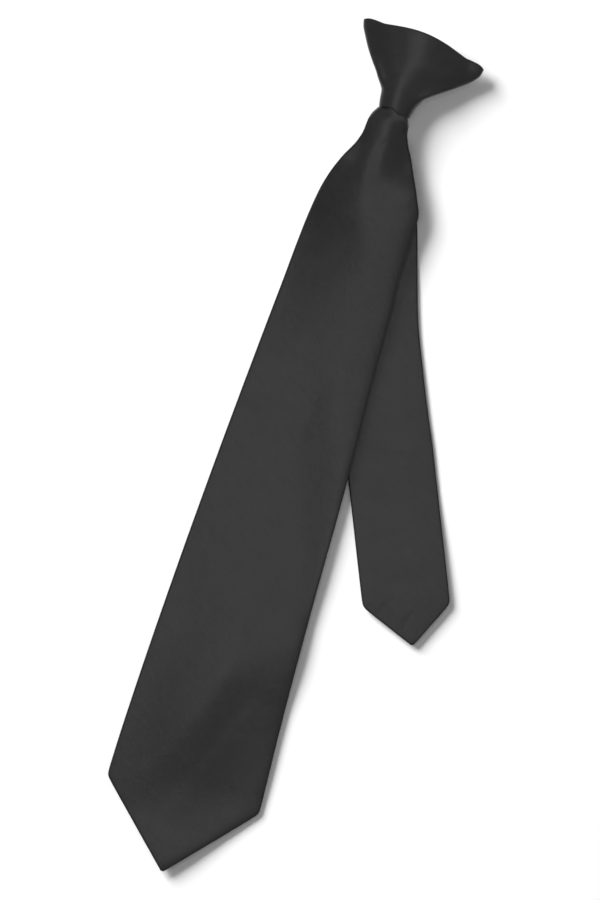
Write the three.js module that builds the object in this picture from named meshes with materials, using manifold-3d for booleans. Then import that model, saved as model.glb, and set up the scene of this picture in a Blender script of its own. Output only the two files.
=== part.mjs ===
import * as THREE from 'three';
import { mergeVertices } from 'three/addons/utils/BufferGeometryUtils.js';
import Module from 'manifold-3d';

// A clip on tie lying face up. Millimetres: X across the tie, Y up to its knot, Z out of its front.
// While it is built, the origin is the neck, where both blades leave the knot, on the surface below.

// Front blade
const frontLength = 413.8;
const frontWidth = 82;
const frontThickness = 3;
const frontPointAngle = 88.6;
const frontPointTurn = 2.4;
const frontPointShift = 3.1;
const frontDescent = 205;

// Tail blade, which swings out from behind the front one
const tailLength = 279;
const tailWidth = 45.8;
const tailThickness = 2.4;
const tailPointAngle = 93.4;
const tailPointTurn = -1.2;
const tailPointShift = 0.8;
const tailDescent = 60;
const tailTipLift = 2;
const tailLiftStart = { from: 130, over: 100 };
const tailSwingAtKnot = 15.2;
const tailSwingAtEnd = 23.8;
const tailBendFrom = 0.3;
const tailBendTo = 0.7;

// Knot: a tapered sleeve of folded cloth, with a soft ridge down its front
const knotHeight = 39.6;
const knotArch = 3.7;
const knotArchWidth = 48;
const knotArchFullness = 1.3;
const knotTopWidth = 68;
const knotNeckWidth = 16.4;
const knotNeckDepth = 12;
const knotTopDepth = 14;
const knotTurn = 5.6;
const knotCornerDrop = 1.6;
const knotBackDip = 4.6;
const clothWall = 1.5;

// Clip: one bent strip of spring steel, hooked over the back wall of the knot
const clipWidth = 20;
const clipThickness = 0.9;
const clipPlateLength = 20;
const clipBendDrop = 2.6;
const collarSlot = 5;
const prongWidth = 6.2;
const prongLength = 28;
const prongFlatLength = 10;
const prongPinch = 1.1;
const prongLip = 0.5;
const pinchShare = 0.65;
const slotEndInset = 3.5;

// Fits and roundings
const clearance = 0.3;
const drapeWidth = 32;
const insideKnot = 10;
const cornerRound = 1.5;
const tipRound = 0.8;
const sideDroop = 0.06;
const mouthRoundness = 2.6;
const tailMouthShare = 0.8;
const tailMouthSwell = 1.12;
const edgeBluntness = 9;

// Levels, from the surface up
const knotBackLevel = clipThickness + collarSlot;
const frontMouthHalfWidth = knotNeckWidth / 2 - clothWall - clearance;
const tailMouthHalfWidth = frontMouthHalfWidth * tailMouthShare;
const mouthHalfDepth = knotNeckDepth / 2 - clothWall - clearance;
const mouthLevel = knotBackLevel + knotNeckDepth / 2;
const tailMouthThickness = tailThickness * tailMouthSwell;
const tailMouthLevel = mouthLevel - mouthHalfDepth;
const frontMouthLevel = tailMouthLevel + tailMouthThickness + clearance;
const frontMouthThickness = mouthLevel + mouthHalfDepth - frontMouthLevel;

// Outline of the front blade: shares of its length, and how far each edge has spread from the mouth
const frontOutline = [
  { along: 0.0007, left: 0.000, right: 0.000, thick: 1.80 },
  { along: 0.0020, left: 0.072, right: 0.028, thick: 1.80 },
  { along: 0.0055, left: 0.100, right: 0.055, thick: 1.80 },
  { along: 0.0120, left: 0.138, right: 0.090, thick: 1.80 },
  { along: 0.0200, left: 0.160, right: 0.100, thick: 1.80 },
  { along: 0.0338, left: 0.172, right: 0.160, thick: 1.75 },
  { along: 0.0483, left: 0.218, right: 0.256, thick: 1.65 },
  { along: 0.0725, left: 0.360, right: 0.402, thick: 1.45 },
  { along: 0.0967, left: 0.470, right: 0.540, thick: 1.25 },
  { along: 0.1208, left: 0.541, right: 0.644, thick: 1.12 },
  { along: 0.1570, left: 0.595, right: 0.642, thick: 1.02 },
  { along: 0.1933, left: 0.626, right: 0.638, thick: 1.00 },
  { along: 0.2417, left: 0.657, right: 0.677, thick: 1.00 },
  { along: 0.3383, left: 0.725, right: 0.733, thick: 1.00 },
  { along: 0.4833, left: 0.816, right: 0.822, thick: 1.00 },
  { along: 0.6283, left: 0.888, right: 0.880, thick: 1.00 },
  { along: 0.7733, left: 0.938, right: 0.955, thick: 1.00 },
  { along: 0.8700, left: 0.953, right: 1.018, thick: 1.00 },
  { along: 1.0000, left: 0.953, right: 1.090, thick: 1.00 },
];

// Outline of the tail blade, in the same way and evenly thick
const tailOutline = [
  { along: 0.002, left: 0.00, right: 0.00 },
  { along: 0.040, left: 0.13, right: 0.13 },
  { along: 0.105, left: 0.36, right: 0.36 },
  { along: 0.170, left: 0.53, right: 0.53 },
  { along: 0.215, left: 0.60, right: 0.60 },
  { along: 0.300, left: 0.66, right: 0.66 },
  { along: 0.390, left: 0.73, right: 0.73 },
  { along: 0.475, left: 0.85, right: 0.85 },
  { along: 0.560, left: 0.94, right: 0.94 },
  { along: 0.650, left: 1.00, right: 1.00 },
  { along: 1.000, left: 1.00, right: 1.00 },
];

// Sections of the knot: shares of its height, the spread of each side from the neck to the corners,
// how far the depth has grown from neck to top, and how far the round mouth has turned into flat wings
const knotSections = [
  { along: 0.000, left: 0.030, right: 0.000, depth: 0.00, flat: 0.00 },
  { along: 0.050, left: 0.055, right: 0.004, depth: 0.04, flat: 0.03 },
  { along: 0.120, left: 0.082, right: 0.016, depth: 0.08, flat: 0.10 },
  { along: 0.200, left: 0.110, right: 0.050, depth: 0.12, flat: 0.26 },
  { along: 0.255, left: 0.160, right: 0.082, depth: 0.16, flat: 0.40 },
  { along: 0.305, left: 0.226, right: 0.118, depth: 0.20, flat: 0.52 },
  { along: 0.355, left: 0.292, right: 0.188, depth: 0.26, flat: 0.62 },
  { along: 0.410, left: 0.355, right: 0.270, depth: 0.32, flat: 0.71 },
  { along: 0.505, left: 0.488, right: 0.426, depth: 0.45, flat: 0.83 },
  { along: 0.655, left: 0.682, right: 0.670, depth: 0.66, flat: 0.94 },
  { along: 0.810, left: 0.857, right: 0.884, depth: 0.86, flat: 0.99 },
  { along: 0.920, left: 0.973, right: 0.975, depth: 0.97, flat: 1.00 },
  { along: 1.000, left: 1.000, right: 1.000, depth: 1.00, flat: 1.00 },
];

// The soft ridge down the front of the knot, in mm up from its mouth: its place across, how steeply each
// flank falls, how rounded it is beside the ridge, the most that it falls, and how blunt both sides are
const ridgeRows = [
  { along: 3, middle: -1.3, left: 0.30, right: 0.30, round: 3.2, leftFall: 9, rightFall: 9, blunt: 4.5 },
  { along: 8, middle: -2.0, left: 0.36, right: 0.33, round: 3.6, leftFall: 2.4, rightFall: 3.0, blunt: 5.0 },
  { along: 12, middle: -2.4, left: 0.40, right: 0.35, round: 3.9, leftFall: 1.8, rightFall: 2.4, blunt: 9.0 },
  { along: 15, middle: -2.5, left: 0.40, right: 0.35, round: 4.2, leftFall: 2.0, rightFall: 2.7, blunt: 11 },
  { along: 20, middle: -2.4, left: 0.38, right: 0.34, round: 5.0, leftFall: 3.0, rightFall: 4.2, blunt: 10 },
  { along: 25, middle: -1.4, left: 0.34, right: 0.33, round: 7.0, leftFall: 7.0, rightFall: 7.0, blunt: 7.0 },
  { along: 30, middle: -1.0, left: 0.34, right: 0.32, round: 9.0, leftFall: 9, rightFall: 8, blunt: 6.0 },
  { along: 43, middle: -2.6, left: 0.34, right: 0.33, round: 12, leftFall: 9, rightFall: 6.9, blunt: 6.0 },
];
const greatestRidgeFall = 0.85;

// The crest gathered at the top of the front blade, in mm down the blade: its place across, and on its left
// the steepness, the rounding and the greatest fall of the flank
const crestRows = [
  { along: 0, middle: 1.5, slope: 0.22, round: 4, fall: 1.6 },
  { along: 5, middle: -2.0, slope: 0.27, round: 4, fall: 2.4 },
  { along: 15, middle: -2.6, slope: 0.28, round: 4, fall: 2.0 },
  { along: 25, middle: -3.9, slope: 0.28, round: 4, fall: 1.7 },
  { along: 33, middle: -3.9, slope: 0.28, round: 4, fall: 2.2 },
  { along: 42, middle: -2.7, slope: 0.28, round: 5, fall: 4.3 },
  { along: 50, middle: -0.5, slope: 0.28, round: 8, fall: 6.2 },
  { along: 60, middle: 5.0, slope: 0.28, round: 13, fall: 7.2 },
  { along: 80, middle: 13.0, slope: 0.22, round: 12, fall: 6.6 },
  { along: 100, middle: 15.0, slope: 0.16, round: 14, fall: 4.9 },
  { along: 130, middle: 18.0, slope: 0.08, round: 20, fall: 2.8 },
  { along: 160, middle: 18.0, slope: 0.00, round: 20, fall: 0.0 },
];

// The hollow scooped out on the right of the crest, in the same way
const scoopRows = [
  { along: 0, middle: 1.5, slope: 0.00, fall: 0.0 },
  { along: 3, middle: 0.0, slope: 0.03, fall: 0.2 },
  { along: 6, middle: -1.4, slope: 0.30, fall: 1.8 },
  { along: 12, middle: -1.2, slope: 0.34, fall: 2.8 },
  { along: 24, middle: -0.6, slope: 0.32, fall: 3.6 },
  { along: 32, middle: 0.0, slope: 0.25, fall: 2.5 },
  { along: 40, middle: 1.0, slope: 0.07, fall: 0.6 },
  { along: 45, middle: 1.0, slope: 0.00, fall: 0.0 },
];
const scoopRound = 3.2;
const limitSoftness = 0.7;
const reliefRise = 2;

// Where the blade's underside begins to follow the flanks, over what length, and how much of the scoop
const crestFollow = { from: 22, over: 28 };
const scoopFollow = { from: 8, over: 16, share: 0.6 };

// How high the lower end of the front blade arches off the surface, in mm down the blade
const archRows = [
  { along: 0, lift: 0.0 },
  { along: 150, lift: 0.5 },
  { along: 215, lift: 1.4 },
  { along: 250, lift: 2.2 },
  { along: 285, lift: 3.8 },
  { along: 310, lift: 5.2 },
  { along: 335, lift: 5.4 },
  { along: 355, lift: 5.0 },
  { along: 374, lift: 4.2 },
  { along: 392, lift: 3.4 },
  { along: 414, lift: 3.6 },
];
const archLeftShare = 0.4;
const archLeftReach = 38;

// A soft step low on the front blade, falling to the right of a line that slants across it
const foldPlace = { x: 12, y: -310 };
const foldSlant = 17.4;
const foldDrop = 4.6;
const foldWidth = 44;
const foldStart = { from: 280, over: 37 };
const foldEnd = { from: 366, over: 36 };

// Places across every cloth section, in shares of its half width
const columns = [
  -1, -0.985, -0.94, -0.82, -0.66, -0.5, -0.36, -0.24, -0.12,
  0, 0.12, 0.24, 0.36, 0.5, 0.66, 0.82, 0.94, 0.985, 1,
];

const stationStep = 12;
const headStep = 5;
const gatherEnd = 60;
const knotStep = 0.1;
const bendSteps = 12;
const pinchSteps = 12;
const prongCurveSegments = 10;
const centrelineSteps = 60;
const tailSampleStep = 2;
const degrees = Math.PI / 180;
const blackCloth = { color: 0x373737, roughness: 0.55, metalness: 0 };
const brightSteel = { color: 0xb9bcc0, roughness: 0.3, metalness: 1 };
const mix = THREE.MathUtils.lerp;
const rampUp = (share) => THREE.MathUtils.smoothstep(share, 0, 1);

// A smooth curve through one column of a table, which never overshoots its rows
function curveThrough(rows, name) {
  const slopes = rows.slice(1).map((row, i) => (row[name] - rows[i][name]) / (row.along - rows[i].along));
  const tangents = rows.map((row, i) => {
    const before = slopes[Math.max(i - 1, 0)];
    const after = slopes[Math.min(i, slopes.length - 1)];
    return before * after > 0 ? (2 * before * after) / (before + after) : 0;
  });
  return (along) => {
    const place = THREE.MathUtils.clamp(along, rows[0].along, rows[rows.length - 1].along);
    const next = Math.max(1, rows.findIndex((row) => row.along >= place));
    const low = rows[next - 1];
    const high = rows[next];
    const span = high.along - low.along;
    const t = (place - low.along) / span;
    const rise = rampUp(t);
    const bend = t * (1 - t) * (1 - t) * tangents[next - 1] - t * t * (1 - t) * tangents[next];
    return mix(low[name], high[name], rise) + bend * span;
  };
}

// Smooth curves through several columns of a table
function curvesThrough(rows, names) {
  return Object.fromEntries(names.map((name) => [name, curveThrough(rows, name)]));
}

// The lesser of two widths, with the corner between them rounded
function roundedLesser(a, b) {
  return (a + b - Math.hypot(a - b, cornerRound)) / 2;
}

// Height of a rounded section at a share of its half width
function sectionHeight(share, bluntness) {
  return Math.pow(1 - Math.pow(Math.min(Math.abs(share), 1), bluntness), 1 / bluntness);
}

// Turns a list of places into stations no further apart than a step, with the given ones kept
function stationsThrough(places, step) {
  const sorted = [...places].sort((a, b) => a - b);
  const stations = [sorted[0]];
  for (const place of sorted.slice(1)) {
    const last = stations[stations.length - 1];
    const parts = Math.max(1, Math.ceil((place - last) / step));
    for (let part = 1; part <= parts; part += 1) {
      stations.push(mix(last, place, part / parts));
    }
  }
  return stations;
}

// A closed mesh through rings of equal count, with a cap at each end, or the last ring joined to the first
function loft(rings, isLoop) {
  const count = rings[0].length;
  const positions = rings.flat().flatMap((point) => [point.x, point.y, point.z]);
  const faces = [];
  const bands = isLoop ? rings.length : rings.length - 1;
  for (let band = 0; band < bands; band += 1) {
    const here = band * count;
    const there = ((band + 1) % rings.length) * count;
    for (let i = 0; i < count; i += 1) {
      const next = (i + 1) % count;
      faces.push(here + i, there + i, there + next, here + i, there + next, here + next);
    }
  }
  if (!isLoop) {
    const end = (rings.length - 1) * count;
    for (let low = 0, high = count - 1; low + 1 < high; low += 1, high -= 1) {
      faces.push(low, low + 1, high, low + 1, high - 1, high);
      faces.push(end + low, end + high, end + low + 1, end + low + 1, end + high, end + high - 1);
    }
  }
  const geometry = new THREE.BufferGeometry();
  geometry.setAttribute('position', new THREE.Float32BufferAttribute(positions, 3));
  geometry.setIndex(faces);
  geometry.computeVertexNormals();
  return geometry;
}

// The line that a blade follows from the neck, by its heading away from straight down the tie
function followHeading(headingAt) {
  return (distance) => {
    const place = new THREE.Vector2();
    const part = distance / centrelineSteps;
    for (let i = 0; i < centrelineSteps; i += 1) {
      const heading = headingAt((i + 0.5) * part) * degrees;
      place.x += Math.sin(heading) * part;
      place.y -= Math.cos(heading) * part;
    }
    const heading = headingAt(distance) * degrees;
    return { place, across: new THREE.Vector2(Math.cos(heading), Math.sin(heading)) };
  };
}

// Half widths of a blade at a distance from the neck, cut by the two edges of its point
function bladeEdges({ outline, length, width, mouthHalfWidth, pointAngle, pointTurn, pointShift }) {
  const leftSpread = curveThrough(outline, 'left');
  const rightSpread = curveThrough(outline, 'right');
  const leftSlope = Math.tan((pointAngle / 2 + pointTurn) * degrees);
  const rightSlope = Math.tan((pointAngle / 2 - pointTurn) * degrees);
  return (distance) => {
    const beyond = Math.max(length - distance, 0);
    const left = mix(mouthHalfWidth, width / 2, leftSpread(distance / length));
    const right = mix(mouthHalfWidth, width / 2, rightSpread(distance / length));
    const shift = pointShift * rampUp(distance / length);
    const atTip = { left: tipRound - pointShift, right: tipRound + pointShift };
    return {
      left: beyond > 0 ? roundedLesser(left, beyond * leftSlope - shift + tipRound) : atTip.left,
      right: beyond > 0 ? roundedLesser(right, beyond * rightSlope + shift + tipRound) : atTip.right,
    };
  };
}

// Rings of a blade: at each station its upper side from left to right, then its lower side back
function bladeRings(blade) {
  const cornerPlace = blade.length - blade.width / 2 / Math.tan((blade.pointAngle / 2) * degrees);
  const rows = blade.outline.slice(0, -1).map((row) => row.along * blade.length);
  const cornerStart = cornerPlace - cornerRound * 2;
  const marks = [-insideKnot, ...rows.filter((place) => place < cornerStart)];
  marks.push(cornerStart, cornerPlace, cornerPlace + cornerRound * 2, blade.length - tipRound);
  const head = stationsThrough(marks.filter((place) => place <= gatherEnd), headStep);
  const bodyMarks = marks.filter((place) => place > gatherEnd);
  const body = stationsThrough([head[head.length - 1], ...bodyMarks], stationStep);
  return [...head, ...body.slice(1), blade.length].map((distance) => {
    const { place, across } = blade.follow(distance);
    const edges = blade.edges(distance);
    const thick = blade.thickness(distance);
    const bluntness = mix(mouthRoundness, edgeBluntness, rampUp((2 * distance) / gatherEnd));
    const above = blade.shareAbove(distance);
    const side = (column, isUpper) => {
      const middle = (edges.right - edges.left) / 2;
      const half = (edges.right + edges.left) / 2;
      const pull = rampUp((distance - cornerPlace + stationStep) / stationStep);
      const lateral = mix(column * (column < 0 ? edges.left : edges.right), middle + column * half, pull);
      const x = place.x + across.x * lateral;
      const y = place.y + across.y * lateral;
      const bulge = sectionHeight(column, bluntness);
      const under = blade.under(x, y, distance, column);
      const edge = under + thick * (1 - above);
      const relief = blade.relief(x, y, distance) * bulge;
      const z = isUpper ? edge + thick * above * bulge + relief : edge - thick * (1 - above) * bulge;
      return new THREE.Vector3(x, y, z);
    };
    const upper = columns.map((column) => side(column, true));
    const lower = columns.slice(1, -1).reverse().map((column) => side(column, false));
    return [...upper, ...lower];
  });
}

// Tail blade: flat on the surface, rising to the lower part of the knot's mouth
const tail = {
  length: tailLength,
  width: tailWidth,
  mouthHalfWidth: tailMouthHalfWidth,
  pointAngle: tailPointAngle,
  pointTurn: tailPointTurn,
  pointShift: tailPointShift,
  outline: tailOutline,
  follow: followHeading((distance) => {
    const bend = rampUp((distance / tailLength - tailBendFrom) / (tailBendTo - tailBendFrom));
    const swing = mix(tailSwingAtKnot, tailSwingAtEnd, bend);
    return mix(-knotTurn, swing, rampUp(distance / insideKnot));
  }),
  thickness: (distance) => mix(tailMouthThickness, tailThickness, rampUp(distance / tailDescent)),
  shareAbove: (distance) => mix(0, 0.5, rampUp(distance / insideKnot)),
  under: (x, y, distance) => {
    const tipLift = tailTipLift * rampUp((distance - tailLiftStart.from) / tailLiftStart.over);
    return tailMouthLevel * (1 - rampUp(distance / tailDescent)) + tipLift;
  },
  relief: () => 0,
};
tail.edges = bladeEdges(tail);

// Upper side of the tail blade, sampled along it, for the front blade to lie on
const tailSamples = [];
for (let distance = -insideKnot; distance <= tailLength; distance += tailSampleStep) {
  const edges = tail.edges(distance);
  const top = tail.under(0, 0, distance) + tail.thickness(distance);
  tailSamples.push({ place: tail.follow(distance).place, half: (edges.left + edges.right) / 2, top });
}

// How high the tail holds the front blade up at a place, falling away beyond the tail's edges
function liftOverTail(x, y) {
  let nearest = tailSamples[0];
  let least = Infinity;
  for (const sample of tailSamples) {
    const distance = Math.hypot(sample.place.x - x, sample.place.y - y);
    if (distance < least) {
      least = distance;
      nearest = sample;
    }
  }
  const outside = Math.max(least - nearest.half, 0);
  return (nearest.top + clearance) * (1 - rampUp(outside / drapeWidth));
}

// Fall away from a rounded crest, which levels out softly at a limit
function flank(outward, slope, round, limit) {
  const fall = slope * (Math.hypot(Math.max(outward, 0), round) - round);
  const meeting = (fall + limit - Math.hypot(fall - limit, limitSoftness)) / 2;
  return meeting + (limitSoftness / 2) * Math.exp(-limit / limitSoftness);
}

const crest = curvesThrough(crestRows, ['middle', 'slope', 'round', 'fall']);
const scoop = curvesThrough(scoopRows, ['middle', 'slope', 'fall']);

// How far the gathered cloth falls away on both sides of its crest, in all and of it with its underside
function gather(x, y, distance) {
  const left = flank(crest.middle(-y) - x, crest.slope(-y), crest.round(-y), crest.fall(-y));
  const right = flank(x - scoop.middle(-y), scoop.slope(-y), scoopRound, scoop.fall(-y));
  const leftShare = rampUp((distance - crestFollow.from) / crestFollow.over);
  const rightShare = scoopFollow.share * rampUp((distance - scoopFollow.from) / scoopFollow.over);
  return { all: left + right, whole: left * leftShare + right * rightShare };
}

// How far the blade has dropped beyond the slanting step
function foldFall(x, y) {
  const slant = foldSlant * degrees;
  const across = (x - foldPlace.x) * Math.cos(slant) - (y - foldPlace.y) * Math.sin(slant);
  const start = rampUp((-y - foldStart.from) / foldStart.over);
  const end = rampUp((-y - foldEnd.from) / foldEnd.over);
  return foldDrop * rampUp(across / foldWidth + 0.5) * start * (1 - end);
}

// Front blade: gathered into the mouth, lying on the tail where they cross and on the surface elsewhere
const frontThick = curveThrough(frontOutline, 'thick');
const archLift = curveThrough(archRows, 'lift');
const front = {
  length: frontLength,
  width: frontWidth,
  mouthHalfWidth: frontMouthHalfWidth,
  pointAngle: frontPointAngle,
  pointTurn: frontPointTurn,
  pointShift: frontPointShift,
  outline: frontOutline,
  follow: followHeading((distance) => -knotTurn * (1 - rampUp(distance / insideKnot))),
  thickness: (distance) => {
    const free = frontThickness * frontThick(distance / frontLength);
    return mix(frontMouthThickness, free, rampUp(distance / headStep));
  },
  shareAbove: (distance) => mix(1, 0.5, rampUp(distance / insideKnot)),
  under: (x, y, distance, column) => {
    if (distance <= 0) {
      return frontMouthLevel;
    }
    const droop = 1 - sideDroop * column * column * rampUp(distance / (2 * insideKnot));
    const rise = frontMouthLevel * (1 - rampUp(distance / frontDescent)) * droop;
    const leftShare = mix(archLeftShare, 1, rampUp((x + archLeftReach) / archLeftReach));
    const held = Math.max(rise - gather(x, y, distance).whole, liftOverTail(x, y));
    return held + Math.max(archLift(distance) * leftShare - foldFall(x, y), 0);
  },
  relief: (x, y, distance) => {
    const falls = gather(x, y, distance);
    return (falls.whole - falls.all) * rampUp((distance + 1) / reliefRise);
  },
};
front.edges = bladeEdges(front);

// Knot: at each station an outer and an inner ring, from the mouth up to the arched top
const knotLeft = curveThrough(knotSections, 'left');
const knotRight = curveThrough(knotSections, 'right');
const knotDepthGrowth = curveThrough(knotSections, 'depth');
const knotFlatness = curveThrough(knotSections, 'flat');
const ridgeColumns = ['middle', 'left', 'right', 'round', 'leftFall', 'rightFall', 'blunt'];
const ridge = curvesThrough(ridgeRows, ridgeColumns);
const wingRim = clothWall + clearance / 2;

function knotTopEdge(column, isFront) {
  const across = (Math.abs(column) * knotTopWidth) / knotArchWidth;
  const arch = knotArch * Math.pow(Math.max(1 - across * across, 0), knotArchFullness);
  const dip = knotBackDip * (1 - column * column);
  const corner = knotCornerDrop * Math.pow(Math.abs(column), 2 * edgeBluntness);
  return knotHeight - corner + (isFront ? arch : -dip);
}

// Height of the front above its rims, where a flank falls away on each side of the ridge
function ridgeHeight(u, v, column, full) {
  const middle = ridge.middle(v);
  const mostFall = greatestRidgeFall * full;
  const round = ridge.round(v);
  const left = flank(middle - u, ridge.left(v), round, Math.min(ridge.leftFall(v), mostFall));
  const right = flank(u - middle, ridge.right(v), round, Math.min(ridge.rightFall(v), mostFall));
  return (full - left - right) * sectionHeight(column, ridge.blunt(v));
}

function knotRing(along, inset) {
  const flat = knotFlatness(along);
  const depth = mix(knotNeckDepth, knotTopDepth, knotDepthGrowth(along));
  const below = mix(knotNeckDepth / 2, wingRim, flat);
  const edgeLevel = knotBackLevel + below;
  const rimBluntness = mix(mouthRoundness, edgeBluntness, flat);
  const side = (column, isFront) => {
    const spread = column < 0 ? knotLeft(along) : knotRight(along);
    const half = mix(knotNeckWidth, knotTopWidth, spread) / 2 - inset;
    const rim = sectionHeight(column, rimBluntness);
    const u = column * half;
    const v = along * knotTopEdge(column, isFront);
    const full = depth - below - wingRim;
    const crown = mix(full * sectionHeight(column, mouthRoundness), ridgeHeight(u, v, column, full), flat);
    const up = (wingRim - inset) * rim + crown;
    const down = (below - inset) * rim;
    return new THREE.Vector3(u, v, edgeLevel + (isFront ? up : -down));
  };
  const frontSide = columns.map((column) => side(column, true));
  const backSide = columns.slice(1, -1).reverse().map((column) => side(column, false));
  return [...frontSide, ...backSide];
}

function knotGeometry() {
  const places = stationsThrough(knotSections.map((row) => row.along), knotStep);
  const outer = places.map((along) => knotRing(along, 0));
  const inner = places.map((along) => knotRing(along, clothWall)).reverse();
  return loft([...outer, ...inner].reverse(), true);
}

// Path of the clip's strip, seen from its side: plate in the knot, bend over the back wall, prongs below
function clipPath() {
  const plateLevel = knotBackLevel + clothWall + clearance + clipThickness / 2;
  const prongLevel = clipThickness / 2;
  const bendRadius = (plateLevel - prongLevel) / 2;
  const bendPlace = knotHeight - clipBendDrop;
  const path = [{ v: bendPlace - clipPlateLength, z: plateLevel, tilt: 90 }];
  for (let i = 0; i <= bendSteps; i += 1) {
    const tilt = 90 - (180 * i) / bendSteps;
    path.push({
      v: bendPlace + bendRadius * Math.cos(tilt * degrees),
      z: prongLevel + bendRadius + bendRadius * Math.sin(tilt * degrees),
      tilt,
    });
  }
  const pinchLength = prongLength - prongFlatLength;
  const pinchPlace = bendPlace - prongFlatLength;
  for (let i = 0; i <= pinchSteps; i += 1) {
    const share = i / pinchSteps;
    const drop = (prongPinch - prongLip) * rampUp((share - pinchShare) / (1 - pinchShare));
    const lift = prongPinch * rampUp(share / pinchShare) - drop;
    path.push({ v: pinchPlace - share * pinchLength, z: prongLevel + lift, tilt: -90 });
  }
  return path;
}

// Outline, seen from above, of all that is cut from the strip's lower leg to leave two round ended prongs
function prongCutOutline() {
  const end = knotHeight - clipBendDrop - prongLength;
  const half = clipWidth / 2;
  const tip = prongWidth / 2;
  const slotHalf = half - prongWidth;
  const slotTop = knotHeight - clipBendDrop - slotEndInset;
  const beyond = 2 * clipThickness;
  const outline = new THREE.Shape();
  outline.moveTo(-half - beyond, end - beyond);
  outline.lineTo(half + beyond, end - beyond);
  outline.lineTo(half + beyond, end + tip);
  outline.lineTo(half, end + tip);
  outline.absarc(half - tip, end + tip, tip, 0, -Math.PI, true);
  outline.lineTo(slotHalf, slotTop - slotHalf);
  outline.absarc(0, slotTop - slotHalf, slotHalf, 0, Math.PI, false);
  outline.lineTo(-slotHalf, end + tip);
  outline.absarc(tip - half, end + tip, tip, 0, -Math.PI, true);
  outline.lineTo(-half - beyond, end + tip);
  return outline;
}

// A closed mesh as a solid that can be cut
function solidOf(wasm, geometry) {
  const plain = geometry.clone();
  plain.deleteAttribute('normal');
  plain.deleteAttribute('uv');
  const merged = mergeVertices(plain);
  const vertProperties = new Float32Array(merged.attributes.position.array);
  const triVerts = new Uint32Array(merged.index.array);
  return new wasm.Manifold(new wasm.Mesh({ numProp: 3, vertProperties, triVerts }));
}

// A cut solid back as a mesh
function meshOf(solid) {
  const { vertProperties, triVerts } = solid.getMesh();
  const geometry = new THREE.BufferGeometry();
  geometry.setAttribute('position', new THREE.Float32BufferAttribute(vertProperties, 3));
  geometry.setIndex([...triVerts]);
  geometry.computeVertexNormals();
  return geometry;
}

async function clipGeometry() {
  const rings = clipPath().map(({ v, z, tilt }) => {
    const outward = new THREE.Vector3(0, Math.cos(tilt * degrees), Math.sin(tilt * degrees));
    const middle = new THREE.Vector3(0, v, z);
    const corners = [[-1, 1], [1, 1], [1, -1], [-1, -1]];
    return corners.map(([side, face]) => middle.clone()
      .addScaledVector(outward, (face * clipThickness) / 2)
      .setX((side * clipWidth) / 2));
  });
  const strip = loft(rings.reverse(), false);
  const depth = knotBackLevel - clearance;
  const extrusion = { depth, bevelEnabled: false, curveSegments: prongCurveSegments };
  const cut = new THREE.ExtrudeGeometry(prongCutOutline(), extrusion);
  cut.translate(0, 0, -clipThickness);
  const wasm = await Module();
  wasm.setup();
  return meshOf(solidOf(wasm, strip).subtract(solidOf(wasm, cut)));
}

function namedMesh(name, geometry, finish) {
  const mesh = new THREE.Mesh(geometry, new THREE.MeshStandardMaterial(finish));
  mesh.name = name;
  return mesh;
}

// The knot and its clip turn together on the neck
const head = new THREE.Group();
head.rotation.z = -knotTurn * degrees;
head.add(namedMesh('knot', knotGeometry(), blackCloth));
head.add(namedMesh('clip', await clipGeometry(), brightSteel));

const tie = new THREE.Group();
tie.add(head);
tie.add(namedMesh('front_blade', loft(bladeRings(front), false), blackCloth));
tie.add(namedMesh('tail_blade', loft(bladeRings(tail), false), blackCloth));

// The finished tie stands with the middle of its outline over the origin
const outlineMiddle = new THREE.Box3().setFromObject(tie, true).getCenter(new THREE.Vector3());
tie.position.set(-outlineMiddle.x, -outlineMiddle.y, 0);

export default tie;
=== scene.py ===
"""A clip on tie of black satin, lying face up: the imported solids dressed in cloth, with a plated clip."""

import bmesh
import bpy
import numpy as np
from math import cos, pi, radians, sin, tan
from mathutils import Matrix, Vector
from mathutils.kdtree import KDTree


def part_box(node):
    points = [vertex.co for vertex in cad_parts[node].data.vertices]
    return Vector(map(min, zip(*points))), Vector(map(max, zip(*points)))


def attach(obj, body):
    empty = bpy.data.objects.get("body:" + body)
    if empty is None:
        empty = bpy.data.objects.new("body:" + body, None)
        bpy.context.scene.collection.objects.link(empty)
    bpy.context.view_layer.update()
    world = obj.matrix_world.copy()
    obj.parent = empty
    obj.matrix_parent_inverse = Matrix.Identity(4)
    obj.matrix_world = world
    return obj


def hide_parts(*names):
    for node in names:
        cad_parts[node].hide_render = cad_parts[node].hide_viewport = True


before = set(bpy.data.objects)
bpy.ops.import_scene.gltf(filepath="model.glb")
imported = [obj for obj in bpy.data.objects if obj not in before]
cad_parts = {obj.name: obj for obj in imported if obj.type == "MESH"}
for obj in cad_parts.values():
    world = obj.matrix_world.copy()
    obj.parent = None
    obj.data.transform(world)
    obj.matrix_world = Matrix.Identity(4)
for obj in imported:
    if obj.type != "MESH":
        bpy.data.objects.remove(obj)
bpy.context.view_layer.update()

MM = 0.001

# The tie's own frame has its origin at the neck, where both blades leave the knot, X across and Y up
KNOT_TURN = radians(5.6)

# Front blade
FRONT_LENGTH = 413.8 * MM
FRONT_WIDTH = 82 * MM
FRONT_THICKNESS = 3 * MM
FRONT_DESCENT = 205 * MM
FRONT_POINT_ANGLE = radians(88.6)
FRONT_POINT_TURN = radians(2.4)
FRONT_POINT_SHIFT = 3.1 * MM
FRONT_SEAM_END = FRONT_LENGTH - 95 * MM
FRONT_SEAM_FOLD = 0.9 * MM

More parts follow.
